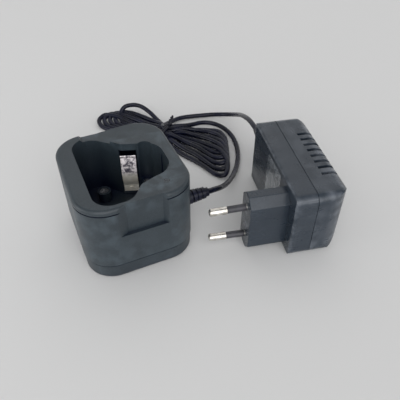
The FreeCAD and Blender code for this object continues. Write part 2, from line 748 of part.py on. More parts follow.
def body_form(name, inset="0"):
    """The adapter's body: three outlines, seen from the side, the top and the end, in common."""
    def radius(text):
        return "max(%s - (%s); inner_edge)" % (text, inset)

    left, right = "block_length + (%s)" % inset, "block_length + body_depth - (%s)" % inset
    front, back = "body_front + (%s)" % inset, "body_back - (%s)" % inset
    low, high = "(%s)" % inset, "body_height - (%s)" % inset
    side = form_pad(name + "Side", "XZ_Plane", (left, right, low, high), [
        (1, [(left, low), (left, high)], radius("face_edge")),
        (1, [(right, high)], radius("rear_top_edge")),
        (1, [(right, low)], radius("rear_low_edge"))])
    plan = form_pad(name + "Plan", "XY_Plane", (left, right, front, back), [
        (2, [(left, front)], radius("face_edge")),
        (2, [(left, back)], radius("face_far_edge")),
        (2, [(right, front)], radius("rear_near_edge")),
        (2, [(right, back)], radius("rear_far_edge"))])
    end = form_pad(name + "End", "YZ_Plane", (front, back, low, high), [
        (0, [(front, low), (front, high), (back, low), (back, high)], radius("body_edge"))])
    item = doc.addObject("Part::MultiCommon", name)
    item.Shapes = [side, plan, end]
    return item


def half_of(form, front):
    """The part of a form in front of the joint between the halves, or behind it."""
    joint = "block_length + cover_depth"
    return cut(form, box("%s - %s" % (joint, "0" if front else "form_reach"), "-form_reach",
                         "-form_reach", "form_reach", "2 * form_reach", "2 * form_reach"))


def edges_at_x(position):
    def test(edge):
        box_ = edge.BoundBox
        return near(box_.XMin, position) and near(box_.XMax, position)
    return test


def plug_block():
    """Flat hexagonal nose that carries the pins."""
    body = doc.addObject("PartDesign::Body", "PlugBlock")
    sketch = new_sketch(body, "PlugOutline", "YZ_Plane")
    middle = "pin_height"
    polygon(sketch, [
        ("block_thick", middle + " - block_flat"), ("block_thick", middle + " + block_flat"),
        ("block_tip", middle + " + block_half"), ("-block_tip", middle + " + block_half"),
        ("-block_thick", middle + " + block_flat"), ("-block_thick", middle + " - block_flat"),
        ("-block_tip", middle + " - block_half"), ("block_tip", middle + " - block_half")])
    pad(body, "PlugPad", sketch, "block_length + 1")
    round_edges(body, "PlugEdges", lambda edge: along(edge, 0), "0.7")
    round_edges(body, "PlugFace", edges_at_x(0.0), "0.5")
    return body


def pin_frame(side):
    """Frame of one pin: -X towards its tip, tilted towards the other pin."""
    spot = Vector(0, 0, value("pin_height") + side * value("pin_pitch") / 2)
    return Placement(spot, Rotation(Vector(0, 1, 0), -side * value("pin_tilt")))


def pin_tool(side, radius, length):
    item = cylinder("0", "0", "0", radius, length, Vector(1, 0, 0))
    for axis in "xyz":
        item.setExpression("Placement.Base." + axis, None)
    item.Placement = pin_frame(side).multiply(
        Placement(Vector(-1, 0, 0), Rotation(Vector(0, 0, 1), Vector(1, 0, 0))))
    return item


def adapter_front_cover():
    shell = half_of(body_form("CoverOuter"), front=True)
    hollow = body_form("CoverInner", "body_wall")
    label = box("block_length - 1", "label_front", "label_low", "label_thick + 1",
                "label_back - label_front", "label_high - label_low")
    cavity = box("pin_inside + 1", "-block_thick + 2", "pin_height - block_flat + 1",
                 "20", "2 * block_thick - 4", "2 * block_flat - 2")
    cable = cylinder("sleeve_x", "body_back + 2", "sleeve_z", "exit_radius", "10",
                     Vector(0, -1, 0))
    pins = [pin_tool(side, "pin_core", "pin_inside + 8") for side in (-1, 1)]
    solid = fuse([cut(shell, hollow), plug_block()])
    tools = fuse([label, cavity, cable, parting_groove()] + pins)
    adapter_node(cut(solid, tools), "adapter_front_cover")


def parting_groove():
    """Fine step round the adapter where its two halves meet."""
    low = "block_length + cover_depth - body_groove"
    outside = box(low, "body_front - 5", "-5", "2 * body_groove", "body_back - body_front + 10",
                  "body_height + 10")
    return cut(outside, body_form("GrooveCore", "body_groove"))


def vent_tools():
    """Slots along both long sides that run round the rear edge."""
    tools = []
    rear = "block_length + body_depth"
    for index in range(int(value("vent_count"))):
        y = "vent_first + %d * vent_pitch - vent_width / 2" % index
        for side in ("-1", "body_height - body_wall - 1"):
            tools.append(box("vent_start", y, side, rear + " - vent_start + 1", "vent_width",
                             "body_wall + 2"))
        for low in ("-1", "body_height - vent_wrap"):
            tools.append(box(rear + " - body_wall - 1", y, low, "body_wall + 2", "vent_width",
                             "vent_wrap + 1"))
    return tools


def adapter_rear_shell():
    shell = half_of(body_form("RearOuter"), front=False)
    hollow = body_form("RearInner", "body_wall")
    adapter_node(cut(cut(shell, hollow), fuse(vent_tools())), "adapter_rear_shell")


def rating_label():
    body = new_body("rating_label")
    sketch = new_sketch(body, "LabelOutline", "YZ_Plane", "block_length")
    rectangle(sketch, "label_front + 0.05", "label_back - 0.05",
              "label_low + 0.05", "label_high - 0.05")
    pad(body, "LabelPad", sketch, "label_thick")
    round_edges(body, "LabelCorners", lambda edge: along(edge, 0), "label_corner")
    body.Placement = adapter_frame()


def plug_pin(name, side):
    """Turned pin: a full-size tip, a thinner core inside the sleeve and a tail in the cover."""
    body = new_body(name)
    sketch = new_sketch(body, name + "Profile", "XZ_Plane")
    ring_profile(sketch, [
        ("-pin_length", "pin_radius"), ("-sleeve_length", "pin_radius"),
        ("-sleeve_length", "pin_core"), ("pin_inside + 4", "pin_core")])
    turned(body, name + "Turned", sketch)
    round_edges(body, name + "Tip", edges_at_x(-value("pin_length")), "pin_end_radius")
    body.Placement = adapter_frame().multiply(pin_frame(side))


def pin_sleeve(name, side):
    body = new_body(name)
    sketch = new_sketch(body, name + "Outline", "YZ_Plane", "-sleeve_length")
    circle(sketch, "0", "0", "sleeve_radius")
    circle(sketch, "0", "0", "pin_core")
    pad(body, name + "Pad", sketch, "sleeve_length - 0.3")
    body.Placement = adapter_frame().multiply(pin_frame(side))


def pins():
    for name, side in (("upper", 1), ("lower", -1)):
        plug_pin("plug_pin_" + name, side)
        pin_sleeve("pin_sleeve_" + name, side)


def transformer():
    """Laminated core, bobbin in its windows and two windings side by side."""
    centre = "(core_low + core_width / 2)"
    leg = "window_width"
    window_front = "(core_front + (core_length - window_length) / 2)"
    core = box("core_x", "core_front", "core_low", "core_thick", "core_length", "core_width")
    lower = "(core_low + core_width / 6)"
    upper = "(core_low + core_width * 5 / 6 - window_width)"
    windows = [box("core_x - 1", window_front, z, "core_thick + 2", "window_length", leg)
               for z in (lower, upper)]
    adapter_node(cut(core, fuse(windows)), "transformer_core")

    tube_half = "(%s - window_width - %s)" % (upper + " + window_width", centre)
    outer_half = "(%s + bobbin_wall)" % tube_half
    gap = "winding_gap"

    def sleeve(front, length, grow, inner):
        """Rectangular tube round the middle leg, grown outward on all four sides."""
        outside = box("core_x - (%s)" % grow, front, "%s - %s - (%s)" % (centre, tube_half, grow),
                      "core_thick + 2 * (%s)" % grow, length, "2 * (%s + %s)" % (tube_half, grow))
        inside = box("core_x - (%s)" % inner, front + " - 1",
                     "%s - %s - (%s)" % (centre, tube_half, inner),
                     "core_thick + 2 * (%s)" % inner, length + " + 2",
                     "2 * (%s + %s)" % (tube_half, inner))
        return cut(outside, inside)

    length = "(window_length - 2 * %s)" % gap
    front = "(%s + %s)" % (window_front, gap)
    tube = sleeve(front, length, "bobbin_wall + " + gap, gap)
    flanges = []
    for share in ("0", "0.5", "1"):
        start = "(%s + %s * (%s - 1))" % (front, share, length)
        flanges.append(sleeve(start, "1", "winding_depth + bobbin_wall + " + gap, gap))
    adapter_node(fuse([tube] + flanges), "transformer_bobbin")
    half = "((%s - 3) / 2 - 0.1)" % length
    for name, start in (("primary_winding", "(%s + 1.05)" % front),
                        ("secondary_winding", "(%s + (%s + 1) / 2 + 0.05)" % (front, length))):
        winding = sleeve(start, half, "winding_depth + bobbin_wall", "bobbin_wall + 2 * " + gap)
        adapter_node(winding, name)


def rectifier():
    board = box("rectifier_x", "rectifier_front", "rectifier_low", "rectifier_thick",
                "rectifier_back - rectifier_front", "rectifier_high - rectifier_low")
    adapter_node(bundle([board]), "rectifier_board")
    diodes = []
    for index in range(4):
        z = "24 + %d * diode_pitch - 2 * diode_pitch + 0.6" % index
        diodes.append(cylinder("rectifier_x - diode_radius - 0.02", "30", z, "diode_radius",
                               "diode_length", Vector(0, 1, 0)))
    adapter_node(bundle(diodes), "rectifier_diodes")
    can = cylinder("rectifier_x - 0.02", "smoother_y", "smoother_z", "smoother_radius",
                   "smoother_length", Vector(-1, 0, 0))
    adapter_node(bundle([can]), "smoothing_capacitor")


# ---- cord -------------------------------------------------------------------------------

# Route of each free run, from its strain relief to the tied hank on the floor.
CRADLE_ROUTE = [
    (39.1, -15.4, 25.0), (45.5, -13.0, 22.6), (53.0, -5.0, 14.8), (61.5, 4.0, 8.0),
    (70.5, 14.0, 3.6), (79.0, 25.0, 2.2), (85.3, 37.5, 2.0), (88.8, 51.5, 2.2),
    (86.0, 65.0, 3.2), (76.5, 71.5, 4.6), (65.0, 70.5, 5.2)]
ADAPTER_ROUTE = [
    (86.9, 20.0, 27.5), (88.6, 29.5, 27.2), (91.8, 43.5, 21.5), (96.5, 57.0, 13.5),
    (97.0, 69.5, 6.2), (88.0, 79.5, 2.8), (76.0, 84.0, 2.0), (65.0, 86.6, 2.0),
    (56.5, 83.5, 2.6), (51.8, 76.3, 4.2)]


def rounded_path(points):
    """Straight runs joined by tangent arcs, each as large as its two runs allow."""
    spots = [Vector(*point) for point in points]
    edges = []
    radii = []
    start = spots[0]
    for before, corner, after in zip(spots, spots[1:], spots[2:]):
        into = (corner - before).normalize()
        out = (after - corner).normalize()
        turn = into.getAngle(out)
        reach = 0.45 * min((corner - before).Length, (after - corner).Length)
        radius = reach / math.tan(turn / 2)
        radii.append(radius)
        arc_start = corner - into * reach
        arc_end = corner + out * reach
        bisector = (out - into).normalize()
        centre = corner + bisector * (radius / math.cos(turn / 2))
        middle = centre - bisector * radius
        edges.append(Part.LineSegment(start, arc_start).toShape())
        edges.append(Part.Arc(arc_start, middle, arc_end).toShape())
        start = arc_end
    edges.append(Part.LineSegment(start, spots[-1]).toShape())
    return Part.Wire(edges), radii


def cord_tube(label, points):
    wire, radii = rounded_path(points)
    radius = value("cord_radius")
    start = Vector(*points[0])
    heading = Vector(*points[1]) - start
    ring = Part.Wire(Part.Circle(start, heading, radius).toShape())
    tube = wire.makePipeShell([ring], True, False)
    expected = math.pi * radius ** 2 * wire.Length
    print(label, "length %.1f" % wire.Length, "volume ratio %.4f" % (tube.Volume / expected),
          "radii", " ".join("%.0f" % item for item in radii))
    solid_shape(label, tube)


def turned_spot(turn, reach, side):
    """Point at a distance along a lobe's direction and to one side of it, from the tie."""
    x = "tie_x + (%s) * cos(%s * 1 deg) - (%s) * sin(%s * 1 deg)" % (reach, turn, side, turn)
    y = "tie_y + (%s) * sin(%s * 1 deg) + (%s) * cos(%s * 1 deg)" % (reach, turn, side, turn)
    return x, y


# Outline of each lobe from the tie outward: shares of hank_reach and of hank_half, first on
# the side towards the cradle and then on the far side, where the cord comes back along it.
RIGHT_NEAR = ((0.46, 0.92), (0.87, 1.08), (1.02, 0.88))
RIGHT_FAR = ((0.38, 1.24), (0.60, 1.22), (0.80, 0.66), (0.94, 0.0))
LEFT_NEAR = ((0.46, 0.90), (0.82, 0.86), (0.95, 0.45))
LEFT_FAR = ((0.46, 0.74), (0.80, 0.80), (0.95, 0.45))


def hank_lobe(name, turn, right_side, left_side):
    """Flat fan of cord on one side of the tie."""
    sides = (("", left_side), ("-", right_side))
    chains = []
    for sign, stations in sides:
        chain = [turned_spot(turn, "waist_length / 2", sign + "waist_half")]
        chain += [turned_spot(turn, "hank_reach * %s" % reach, "%shank_half * %s" % (sign, half))
                  for reach, half in stations]
        chains.append(chain)
    spots = chains[0] + chains[1][::-1]
    body = doc.addObject("PartDesign::Body", name)
    sketch = new_sketch(body, name + "Outline")
    polygon(sketch, spots)
    pad(body, name + "Pad", sketch, "lobe_height")
    outer = [(value(x), value(y)) for x, y in spots[1:-1]]
    round_edges(body, name + "Corners", vertical_at(outer), "lobe_corner")
    return body


def waist_spots(half_length, half_width):
    turn = "(right_turn + left_turn - 180) / 2"
    return [turned_spot(turn, "%s * %d" % (half_length, a), "%s * %d" % (half_width, b))
            for a, b in CORNERS]


def waist_block(name, half_length, half_width, low, high):
    body = doc.addObject("PartDesign::Body", name)
    sketch = new_sketch(body, name + "Outline", height=low)
    polygon(sketch, waist_spots(half_length, half_width))
    pad(body, name + "Pad", sketch, "(%s) - (%s)" % (high, low))
    return body


def cord_hank():
    lobes = [hank_lobe("RightLobe", "right_turn", RIGHT_NEAR, RIGHT_FAR),
             hank_lobe("LeftLobe", "left_turn", LEFT_FAR, LEFT_NEAR)]
    waist = waist_block("Waist", "(waist_length / 2 + 1.5)", "waist_half", "waist_low",
                        "waist_high")
    around = waist_block("TieRoom", "(tie_half_width + 0.1)", "(hank_half * 2)", "-1",
                         "lobe_height + 5")
    keep(fuse([cut(fuse(lobes), around), waist]), "cord_hank")


def cord_tie():
    outer = waist_block("TieOuter", "tie_half_width", "(waist_half + tie_thick)",
                        "waist_low - tie_thick", "waist_high + tie_thick")
    inner = waist_block("TieInner", "(tie_half_width + 1)", "(waist_half + 0.02)",
                        "waist_low - 0.02", "waist_high + 0.02")
    keep(cut(outer, inner), "cord_tie")


# ---- build, check and export ------------------------------------------------------------

def build():
    fill_sheet()
    cradle_shell()
    base_plate()
    rubber_feet()
    base_screws()
    pocket_screws()
    contacts()
    charge_board()
    board_parts()
    cradle_strain_relief()
    adapter_front_cover()
    adapter_rear_shell()
    rating_label()
    pins()
    adapter_strain_relief()
    transformer()
    rectifier()
    cord_tube("cord_run_cradle", CRADLE_ROUTE)
    cord_tube("cord_run_adapter", ADAPTER_ROUTE)
    cord_hank()
    cord_tie()
    doc.recompute()


def check():
    for obj in doc.Objects:
        if "Invalid" in obj.State or "Error" in obj.State:
            raise RuntimeError("%s (%s) failed: %s" % (obj.Label, obj.Name, obj.State))
    for node in nodes:
        shape = node.Shape
        if shape.isNull() or not shape.isValid() or not shape.Solids:
            raise RuntimeError("%s has no valid solid" % node.Label)


def export():
    os.makedirs("parts", exist_ok=True)
    for node in nodes:
        node.Shape.exportStep("parts/%s.step" % node.Label)
    print(len(nodes), "nodes")


build()
check()
export()
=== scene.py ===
"""Looks for a radio's charging cradle, its tied cord and its wall adapter."""

import json
import math

import bpy
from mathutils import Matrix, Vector


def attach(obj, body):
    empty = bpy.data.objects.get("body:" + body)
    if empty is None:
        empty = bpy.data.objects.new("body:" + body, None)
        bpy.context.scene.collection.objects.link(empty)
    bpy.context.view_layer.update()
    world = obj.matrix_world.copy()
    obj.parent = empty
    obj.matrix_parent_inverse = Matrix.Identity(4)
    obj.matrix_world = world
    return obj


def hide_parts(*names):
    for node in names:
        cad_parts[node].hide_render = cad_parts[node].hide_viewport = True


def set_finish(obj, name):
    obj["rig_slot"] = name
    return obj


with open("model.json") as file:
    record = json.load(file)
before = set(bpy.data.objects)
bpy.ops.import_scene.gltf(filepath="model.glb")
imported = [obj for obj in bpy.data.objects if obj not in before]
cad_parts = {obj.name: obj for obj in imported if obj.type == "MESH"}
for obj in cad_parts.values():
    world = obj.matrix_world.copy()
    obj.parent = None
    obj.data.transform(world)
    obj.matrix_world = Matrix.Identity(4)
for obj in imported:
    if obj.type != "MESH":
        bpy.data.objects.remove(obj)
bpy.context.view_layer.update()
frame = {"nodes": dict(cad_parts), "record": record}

MM = 0.001
BODY = "charger"

# ---------------------------------------------------------------- camera

CAMERA_SPOT = (-37.44, -177.26, 186.2)
CAMERA_PITCH = 46.96
CAMERA_HEADING = -24.05
CAMERA_LENS = 42.3
SENSOR = 36.0


def in_metres(points):
    return [Vector(p) * MM for p in points]


def make_camera():
    data = bpy.data.cameras.new("Camera")
    data.lens = CAMERA_LENS
    data.sensor_width = SENSOR
    data.clip_start = 0.01
    data.clip_end = 20.0
    camera = bpy.data.objects.new("Camera", data)
    camera.location = Vector(CAMERA_SPOT) * MM
    camera.rotation_euler = (math.radians(CAMERA_PITCH), 0.0, math.radians(CAMERA_HEADING))
    bpy.context.scene.collection.objects.link(camera)
    bpy.context.scene.camera = camera


make_camera()

# ---------------------------------------------------------------- cord

CORD_RADIUS = 1.5
TIE = (48.6, 70.0)
CRADLE_ROUTE = [
    (39.1, -15.4, 25.0), (45.5, -13.0, 22.6), (53.0, -5.0, 14.8), (61.5, 4.0, 8.0),
    (70.5, 14.0, 3.6), (79.0, 25.0, 2.2), (85.3, 37.5, 2.0), (88.8, 51.5, 2.2),
    (86.0, 65.0, 3.2), (76.5, 71.5, 4.6), (65.0, 70.5, 5.2),
]
ADAPTER_ROUTE = [
    (86.9, 20.0, 27.5), (88.6, 29.5, 27.2), (91.8, 43.5, 21.5), (96.5, 57.0, 13.5),
    (97.0, 69.5, 6.2), (88.0, 79.5, 2.8), (76.0, 84.0, 2.0), (65.0, 86.6, 2.0),
    (56.5, 83.5, 2.6), (51.8, 76.3, 4.2),
]
# each lobe: its heading from the tie in degrees, then in mm its reach, its half width beside the
# tie and at the widest, its lean to one side, how much sooner its far side ends, how much shorter
# each turn is than the one before, which side is far, how high the last turn arches, and how far
# its tip bends to the near side
RIGHT_LOBE = {"turn": -56.0, "reach": 54.0, "root": 5.0, "half": 17.9, "lean": 4.3, "slope": 6.5,
              "shorter": 3.1, "flip": 1.0, "lift": 0.0, "bend": 26.0}
LEFT_LOBE = {"turn": 129.0, "reach": 50.5, "root": 5.0, "half": 13.4, "lean": 0.6, "slope": 1.5,
             "shorter": 2.7, "flip": -1.0, "lift": 4.5, "bend": 0.0}
# how the last strand turns back over the tie towards the adapter
TIE_EXIT = [(46.9, 72.2, 7.4), (47.4, 76.2, 6.2), (51.2, 79.2, 4.6)]
TURNS = 5
SIDE_STEP = 0.2
OUTER_SIDE = 0.9
FLOOR_HEIGHT = 1.6
UPPER_HEIGHT = 4.4
LAYER_STEP = 1.4
ROOT_HEIGHT = 2.2
ROOT_STEP = 2.8
# shares of a lobe's reach: how fast it widens, and where its bend starts
WIDENING = 2.3
BEND_START = 0.4
# where the strands pass the tie, across it and up, in mm: far ones and near ones
WAIST_FAR = [(3.9, 7.2), (4.2, 2.2), (1.4, 2.2), (2.8, 4.8), (0.0, 4.9), (1.3, 7.5)]
WAIST_NEAR = [(-4.4, 2.2), (-1.6, 2.2), (-3.0, 4.8), (-3.9, 7.2), (-1.3, 7.4)]


def lobe_spot(lobe, along, side, height):
    """A point of a lobe from its distance along the lobe and its share of the half width."""
    share = along / lobe["reach"]
    growth = math.sin(min(1.0, WIDENING * share) * math.pi / 2)
    half = lobe["root"] + (lobe["half"] - lobe["root"]) * growth
    aside = lobe["lean"] * growth - lobe["bend"] * max(0.0, share - BEND_START) ** 2
    across = lobe["flip"] * (side * half + aside)
    turn = math.radians(lobe["turn"])
    return (TIE[0] + along * math.cos(turn) - across * math.sin(turn),
            TIE[1] + along * math.sin(turn) + across * math.cos(turn), height)


def lobe_turn(lobe, number):
    """One turn round a lobe, from the near side of the tie to the far side."""
    near = SIDE_STEP * number - OUTER_SIDE
    far = near + SIDE_STEP * TURNS
    reach = lobe["reach"] - lobe["shorter"] * number
    far_reach = reach - lobe["slope"]
    layer = number % 2
    root = ROOT_HEIGHT + ROOT_STEP * layer
    side = FLOOR_HEIGHT + LAYER_STEP * layer
    lift = lobe["lift"] * (number == TURNS - 1)
    stations = [
        (0.17 * reach, near, root), (0.36 * reach, near, side), (0.56 * reach, near, side),
        (0.74 * reach, near, FLOOR_HEIGHT), (0.88 * reach, near + 0.03, FLOOR_HEIGHT),
        (reach - 2.2, near + 0.15, 2.0 + 0.2 * lift), (reach + 0.5, near + 0.34, 2.8 + 0.4 * lift),
        (0.5 * (reach + far_reach) + 1.2, far - 0.36, 3.8 + 0.8 * lift),
        (far_reach, far - 0.14, UPPER_HEIGHT + lift),
        (0.82 * far_reach, far + 0.04 * lift, UPPER_HEIGHT + lift),
        (0.60 * far_reach, far + 0.04 * lift, side + 0.6 + 0.8 * lift),
        (0.38 * far_reach, far, side + 0.4 * lift), (0.17 * reach, far, root),
    ]
    return [lobe_spot(lobe, *station) for station in stations]


def waist_spot(across, height):
    turn = math.radians(RIGHT_LOBE["turn"])
    return (TIE[0] - across * math.sin(turn), TIE[1] + across * math.cos(turn), height)


def hank_points():
    """The cord's turns: through the tie, round the left lobe, back, and round the right one."""
    points = []
    for number in range(TURNS):
        points.append(waist_spot(*WAIST_FAR[number]))
        points += lobe_turn(LEFT_LOBE, number)[::-1]
        points.append(waist_spot(*WAIST_NEAR[number]))
        points += lobe_turn(RIGHT_LOBE, number)
    points.append(waist_spot(*WAIST_FAR[-1]))
    return points


def nurbs(name, points, radius):
    """A smooth round cord on its control points. A curve's box grows by each point's radius,
    which is 1 m unless it is set, so the points hold the thickness."""
    data = bpy.data.curves.new(name, "CURVE")
    data.dimensions = "3D"
    data.resolution_u = 12
    data.bevel_depth = 1.0
    data.bevel_resolution = 4
    data.use_fill_caps = True
    spline = data.splines.new("NURBS")
    spline.points.add(len(points) - 1)
    for control, spot in zip(spline.points, points):
        control.co = (*spot, 1.0)
        control.radius = radius
    spline.order_u = 3
    spline.use_endpoint_u = True
    made = bpy.data.objects.new(name, data)
    bpy.context.scene.collection.objects.link(made)
    return made


def make_cord():
    route = CRADLE_ROUTE + hank_points() + TIE_EXIT + ADAPTER_ROUTE[-2::-1]
    return nurbs("cord", in_metres(route), CORD_RADIUS * MM)


cord = make_cord()
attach(cord, BODY)
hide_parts("cord_run_cradle", "cord_run_adapter", "cord_hank")
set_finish(cord, "cord_jacket")

# ---------------------------------------------------------------- tie

TIE_RADIUS = 0.55
TIE_HALF = 6.2
TIE_LOW = 0.6
TIE_HIGH = 9.3
RING_POINTS = 20
RING_TURNS = 2
RING_PITCH = 1.3
RING_SQUARENESS = 0.6
TWIST_POINTS = 14
TWIST_ANGLE = 0.9
TWIST_RADIUS = 0.6
TWIST_START = 1.5
TWIST_RUN = 0.45
TWIST_RISE = 0.28
TWIST_LIFT = 0.3


def tie_spot(along, across, height):
    turn = math.radians(RIGHT_LOBE["turn"])
    return (TIE[0] + along * math.cos(turn) - across * math.sin(turn),
            TIE[1] + along * math.sin(turn) + across * math.cos(turn), height)


def ring_spot(part, along):
    """A point of the wire's turn round the strands: an oval flattened like a box."""
    angle = 2 * math.pi * part
    middle = (TIE_HIGH + TIE_LOW) / 2
    squared = [math.copysign(abs(math.sin(angle + shift)) ** RING_SQUARENESS,
                             math.sin(angle + shift))
               for shift in (0.0, math.pi / 2)]
    return tie_spot(along, TIE_HALF * squared[0], middle + (TIE_HIGH - TIE_LOW) / 2 * squared[1])


def twist_spot(phase, step):
    """A point of one wire of the twisted ends, which rise away from the tie."""
    angle = phase + step * TWIST_ANGLE
    return tie_spot(TWIST_RADIUS * math.cos(angle),
                    TWIST_START + TWIST_RUN * step + TWIST_RADIUS * math.sin(angle),
                    TIE_HIGH + TWIST_LIFT + TWIST_RISE * step)


def make_tie():
    """A wire tie wound twice round the strands, with its two ends twisted together."""
    points = [ring_spot(step / RING_POINTS, RING_PITCH * (step / RING_POINTS - RING_TURNS / 2))
              for step in range(RING_TURNS * RING_POINTS + 1)]
    band = nurbs("tie_band", in_metres(points), TIE_RADIUS * MM)
    ends = []
    for phase in (0.0, math.pi):
        twist = [twist_spot(phase, step) for step in range(TWIST_POINTS)]
        ends.append(nurbs("tie_end_%d" % len(ends), in_metres(twist), TIE_RADIUS * MM))
    for end in ends:
        end.parent = band
    return [band] + ends


tie_parts = make_tie()
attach(tie_parts[0], BODY)
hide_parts("cord_tie")
for part in tie_parts:
    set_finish(part, "tie_wire")

# ---------------------------------------------------------------- materials

# noise scales are per metre, so 2500 is a grain of 0.4 mm; depths are in metres
SPARK_GRAIN = 2600.0
SPARK_DEPTH = 0.00004
DENT_SCALE = 260.0
# how far the painted shade in hollows looks for nearby surfaces
PAINTED_SHADE_REACH = 0.022
# heights on the leaf between which its mottled upper part begins, in metres
MOTTLE_FROM = 0.0265
MOTTLE_TO = 0.0295
# a wave texture's bands lie 0.314 m / scale apart, so this spaces them about 1.9 pitches apart
PITCHES_PER_SCALE = 6.0


def new_material(name, **values):
    """A surface whose even values sit on its own sockets."""
    made = bpy.data.materials.new(name)
    made.use_nodes = True
    surface = made.node_tree.nodes["Principled BSDF"]
    for key, value in values.items():
        surface.inputs[key.replace("_", " ")].default_value = value
    return made


def add_node(tree, kind, inputs=(), **settings):
    made = tree.nodes.new(kind)
    for key, value in settings.items():
        setattr(made, key, value)
    for key, value in dict(inputs).items():
        made.inputs[key].default_value = value
    return made


def stretched(tree, scale=(1.0, 1.0, 1.0), turn=0.0):
    """Object coordinates, stretched along each axis."""
    spot = add_node(tree, "ShaderNodeTexCoord")
    mapping = add_node(tree, "ShaderNodeMapping", {"Scale": scale, "Rotation": (0.0, 0.0, turn)})
    tree.links.new(spot.outputs["Object"], mapping.inputs["Vector"])
    return mapping.outputs["Vector"]


def noise(tree, scale, detail=3.0, rough=0.5, stretch=(1.0, 1.0, 1.0), turn=0.0, distortion=0.0):
    made = add_node(tree, "ShaderNodeTexNoise", {"Scale": scale, "Detail": detail,
                                                 "Roughness": rough, "Distortion": distortion})
    tree.links.new(stretched(tree, stretch, turn), made.inputs["Vector"])
    return made.outputs["Fac"]


def ramp(tree, source, stops):
    """Colours or greys along a source's value."""
    made = add_node(tree, "ShaderNodeValToRGB")
    elements = made.color_ramp.elements
    while len(elements) < len(stops):
        elements.new(0.5)
    for element, (spot, colour) in zip(elements, stops):
        element.position = spot
        element.color = (*colour, 1.0) if hasattr(colour, "__len__") else (colour,) * 3 + (1.0,)
    tree.links.new(source, made.inputs["Fac"])
    return made.outputs["Color"]


def mixed(tree, factor, first, second, blend="MIX"):
    made = add_node(tree, "ShaderNodeMix", data_type="RGBA", blend_type=blend)
    for index, source in ((0, factor), (6, first), (7, second)):
        if hasattr(source, "links"):
            tree.links.new(source, made.inputs[index])
        else:
            made.inputs[index].default_value = source
    return made.outputs[2]


def bump(tree, height, distance, strength=1.0, under=None):
    made = add_node(tree, "ShaderNodeBump", {"Distance": distance, "Strength": strength})
    tree.links.new(height, made.inputs["Height"])
    if under is not None:
        tree.links.new(under, made.inputs["Normal"])
    return made.outputs["Normal"]


def connect(made, **sources):
    surface = made.node_tree.nodes["Principled BSDF"]
    for key, source in sources.items():
        made.node_tree.links.new(source, surface.inputs[key.replace("_", " ")])
    return made


def worn_edges(tree):
    """Bright only on sharp convex edges, broken up by noise."""
    geometry = add_node(tree, "ShaderNodeNewGeometry")
    edge = ramp(tree, geometry.outputs["Pointiness"], [(0.53, 0.0), (0.62, 1.0)])
    patches = ramp(tree, noise(tree, 160.0, 4.0), [(0.40, 0.0), (0.62, 1.0)])
    return mixed(tree, 1.0, edge, patches, "MULTIPLY")


def paint_hollow_shade(tree, colour, tint):
    """Paints shade into hollows: darkens a colour towards a tint where less light reaches."""
    hollow_shade = add_node(tree, "ShaderNodeAmbientOcclusion", {"Distance": PAINTED_SHADE_REACH}, samples=8)
    share = ramp(tree, hollow_shade.outputs["AO"], [(0.25, 1.0), (0.62, 0.0)])
    return mixed(tree, share, colour, (*tint, 1.0))


def moulded_plastic(name, dark, light, worn, gloss, hollow_shade=None):
    """Satin moulded plastic: cloudy colour, spark grain, handling smears, worn edges and, when a
    tint is given, painted shade in its hollows.
    """
    made = new_material(name, IOR=1.5)
    tree = made.node_tree
    clouds = ramp(tree, noise(tree, 32.0, 4.0, 0.6), [(0.30, dark), (0.72, light)])
    specks = ramp(tree, noise(tree, 1400.0, 2.0), [(0.35, 0.88), (0.65, 1.10)])
    colour = mixed(tree, 1.0, clouds, specks, "MULTIPLY")
    colour = mixed(tree, worn_edges(tree), colour, (*worn, 1.0))
    # painted shade: hollows such as the pocket are darkened towards a tint
    if hollow_shade:
        colour = paint_hollow_shade(tree, colour, hollow_shade)
    smears = ramp(tree, noise(tree, 45.0, 5.0, 0.65, (1.0, 1.0, 2.2), 0.6, 0.4),
                  [(0.30, gloss[0]), (0.75, gloss[1])])
    fine = bump(tree, noise(tree, SPARK_GRAIN, 2.0), SPARK_DEPTH, 0.6)
    wavy = bump(tree, noise(tree, 70.0, 2.0), 0.0005, 0.12, fine)
    return connect(made, Base_Color=colour, Roughness=smears, Normal=wavy)


def rubbery(name, dark, light, gloss, sheen, grain=1800.0):
    made = new_material(name, Sheen_Weight=sheen, Specular_IOR_Level=0.3)
    tree = made.node_tree
    colour = ramp(tree, noise(tree, 120.0, 4.0), [(0.35, dark), (0.70, light)])
    rough = ramp(tree, noise(tree, 220.0, 3.0), [(0.3, gloss[0]), (0.7, gloss[1])])
    normal = bump(tree, noise(tree, grain, 2.0), 0.00005, 0.5)
    return connect(made, Base_Color=colour, Roughness=rough, Normal=normal)


def plated_metal(name, dark, light, gloss, stretch=(1.0, 1.0, 6.0), dents=0.0):
    """Plated metal with drawn lines, dull patches and small dents."""
    made = new_material(name, Metallic=1.0)
    tree = made.node_tree
    colour = ramp(tree, noise(tree, 260.0, 5.0, 0.6), [(0.35, dark), (0.68, light)])
    rough = ramp(tree, noise(tree, 420.0, 4.0, 0.6, stretch), [(0.3, gloss[0]), (0.75, gloss[1])])
    lines = bump(tree, noise(tree, 1800.0, 3.0, 0.5, stretch), 0.00003, 0.4)
    dented = bump(tree, noise(tree, DENT_SCALE, 2.0), 0.0004, dents, lines)
    return connect(made, Base_Color=colour, Roughness=rough, Normal=dented)


def layered(name, dark, light, pitch, axis, metallic, gloss, depth):
    """Bands along an axis: stacked laminations or wound wire."""
    made = new_material(name, Metallic=metallic, Roughness=gloss)
    tree = made.node_tree
    scale = 1.0 / (PITCHES_PER_SCALE * pitch)
    bands = add_node(tree, "ShaderNodeTexWave", {"Scale": scale, "Distortion": 0.4},
                     bands_direction=axis)
    tree.links.new(stretched(tree), bands.inputs["Vector"])
    colour = ramp(tree, bands.outputs["Fac"], [(0.2, dark), (0.8, light)])
    normal = bump(tree, bands.outputs["Fac"], depth, 0.7)
    return connect(made, Base_Color=colour, Normal=normal)


